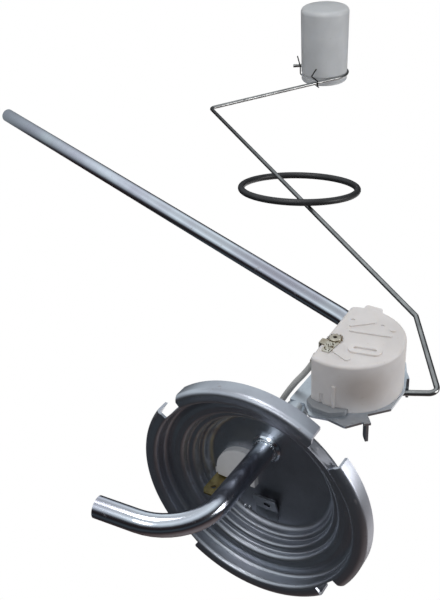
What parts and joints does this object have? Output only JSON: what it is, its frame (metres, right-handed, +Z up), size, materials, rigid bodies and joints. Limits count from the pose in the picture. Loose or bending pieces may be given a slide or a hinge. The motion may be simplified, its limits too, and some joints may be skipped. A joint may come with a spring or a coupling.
{
  "type": "fuel level sender",
  "caption": "Fuel tank level sender with a round pressed flange, bent pickup pipe, resistor housing, hinged wire arm, cylindrical float and seal ring.",
  "frame": {"origin": "centre of the seal plane, on the tank side of the flange", "axes": "+Y along the flange axis into the tank, +Z up, -X the way the lid of the resistor housing faces"},
  "size_m": [0.0966, 0.4794, 0.3395],
  "materials": {
    "zinc_flange": "zinc plated sheet, lightly stained",
    "steel_pipe": "bright plated tube",
    "braze_collar": "bright turned steel",
    "zinc_bracket": "zinc plated sheet",
    "braze_metal": "brazing metal",
    "brass_bush": "turned brass",
    "nylon_base": "grey nylon",
    "nylon_cover": "natural nylon, lightly stained",
    "brass_strip": "dull brass strip",
    "brass_eyelet": "dull brass",
    "card_board": "pressed board",
    "winding_wire": "fine resistance wire",
    "brass_inner": "brass strip",
    "hub_plastic": "black moulded plastic",
    "wiper_brass": "spring brass",
    "clip_steel": "spring steel",
    "nylon_insulator": "white nylon",
    "nylon_washer": "white nylon",
    "brass_blade": "tarnished brass",
    "zinc_tab": "zinc plated sheet",
    "lead_sleeve": "grey sleeve",
    "arm_wire": "drawn steel wire",
    "float_plastic": "translucent nylon",
    "float_cap_plastic": "translucent nylon",
    "clip_wire": "dark spring wire",
    "seal_rubber": "black rubber"
  },
  "bodies": {
    "sender": {"flange": "zinc_flange", "pickup_pipe": "steel_pipe", "pipe_collar": "braze_collar", "bracket": "zinc_bracket", "bracket_braze": "braze_metal", "bearing_bush": "brass_bush", "housing_base": "nylon_base", "housing_cover": "nylon_cover", "housing_terminal": "brass_strip", "housing_eyelet": "brass_eyelet", "resistor_card": "card_board", "resistance_winding": "winding_wire", "contact_strip": "brass_inner", "terminal_insulator": "nylon_insulator", "insulator_washer": "nylon_washer", "terminal_blade": "brass_blade", "ground_tab": "zinc_tab", "lead_wire": "lead_sleeve"},
    "arm": {"float_arm": "arm_wire", "wiper_hub": "hub_plastic", "wiper": "wiper_brass", "shaft_clip": "clip_steel", "float_body": "float_plastic", "float_cap": "float_cap_plastic", "float_clip": "clip_wire", "seal_ring": "seal_rubber"}
  },
  "joints": [
    {"name": "arm_hinge", "type": "hinge", "parent": "sender", "child": "arm", "pos_m": [-0.0102, 0.0544, 0.0104], "axis": [1, 0, 0], "range_deg": [0, 73.34]}
  ]
}
